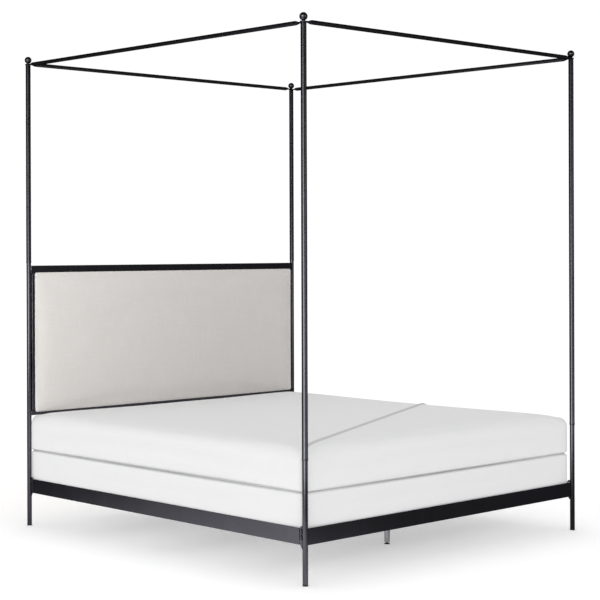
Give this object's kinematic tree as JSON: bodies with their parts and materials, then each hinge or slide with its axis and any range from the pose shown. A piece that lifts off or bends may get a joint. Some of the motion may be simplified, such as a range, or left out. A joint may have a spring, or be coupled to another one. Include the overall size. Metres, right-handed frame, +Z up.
{
  "type": "four poster canopy bed",
  "caption": "Slim round steel four poster bed with an open canopy of rails and ball finials, an upholstered headboard panel, a box spring and a mattress.",
  "frame": {"origin": "on the floor, under the middle of the bed's plan", "axes": "+Z up, +Y towards the headboard, +X to the right of someone looking from the foot to the head"},
  "size_m": [1.974, 2.08, 2.4597],
  "materials": {
    "frame_metal": "satin near-black powder coat with a faint cool sheen",
    "galvanised_leg": "dull galvanised steel tube",
    "fastener": "zinc plated",
    "glide_plastic": "matt black moulded plastic",
    "plywood": "bare plywood",
    "headboard_fabric": "plain woven cream upholstery",
    "ticking": "white woven ticking"
  },
  "bodies": {
    "frame": {"foot_left_glide": "glide_plastic", "foot_left_lower_post": "frame_metal", "foot_left_canopy_post": "frame_metal", "foot_left_ball_finial": "frame_metal", "foot_left_rail_bracket": "frame_metal", "foot_left_rail_hook": "frame_metal", "foot_right_glide": "glide_plastic", "foot_right_lower_post": "frame_metal", "foot_right_canopy_post": "frame_metal", "foot_right_ball_finial": "frame_metal", "foot_right_rail_bracket": "frame_metal", "foot_right_rail_hook": "frame_metal", "head_left_glide": "glide_plastic", "head_left_lower_post": "frame_metal", "head_left_canopy_post": "frame_metal", "head_left_ball_finial": "frame_metal", "head_left_rail_bracket": "frame_metal", "head_left_rail_hook": "frame_metal", "head_right_glide": "glide_plastic", "head_right_lower_post": "frame_metal", "head_right_canopy_post": "frame_metal", "head_right_ball_finial": "frame_metal", "head_right_rail_bracket": "frame_metal", "head_right_rail_hook": "frame_metal", "left_canopy_rail": "frame_metal", "right_canopy_rail": "frame_metal", "foot_canopy_rail": "frame_metal", "head_canopy_rail": "frame_metal", "foot_rail": "frame_metal", "foot_rail_ledge": "frame_metal", "head_cross_rail": "frame_metal", "head_cross_rail_ledge": "frame_metal", "left_side_rail": "frame_metal", "left_side_rail_ledge": "frame_metal", "right_side_rail": "frame_metal", "right_side_rail_ledge": "frame_metal", "foot_cross_support": "frame_metal", "foot_centre_leg": "galvanised_leg", "foot_left_support_bolt": "fastener", "foot_right_support_bolt": "fastener", "middle_cross_support": "frame_metal", "middle_centre_leg": "galvanised_leg", "middle_left_support_bolt": "fastener", "middle_right_support_bolt": "fastener", "head_cross_support": "frame_metal", "head_centre_leg": "galvanised_leg", "head_left_support_bolt": "fastener", "head_right_support_bolt": "fastener", "headboard_top_bar": "frame_metal", "headboard_bottom_bar": "frame_metal", "headboard_left_bar": "frame_metal", "headboard_right_bar": "frame_metal", "headboard_board": "plywood", "headboard_pad": "headboard_fabric", "box_spring": "ticking"},
    "mattress": {"mattress": "ticking"},
    "foot_levelling_foot": {"foot_levelling_foot": "glide_plastic"},
    "middle_levelling_foot": {"middle_levelling_foot": "glide_plastic"},
    "head_levelling_foot": {"head_levelling_foot": "glide_plastic"}
  },
  "joints": [
    {"name": "mattress_tilt", "type": "hinge", "parent": "frame", "child": "mattress", "pos_m": [0, 0.993, 0.552], "axis": [-1, 0, 0], "range_deg": [0, 35]},
    {"name": "foot_levelling_foot_screw", "type": "slide", "parent": "frame", "child": "foot_levelling_foot", "axis": [0, 0, 1], "range_m": [0, 0.005]},
    {"name": "middle_levelling_foot_screw", "type": "slide", "parent": "frame", "child": "middle_levelling_foot", "axis": [0, 0, 1], "range_m": [0, 0.005]},
    {"name": "head_levelling_foot_screw", "type": "slide", "parent": "frame", "child": "head_levelling_foot", "axis": [0, 0, 1], "range_m": [0, 0.005]}
  ]
}
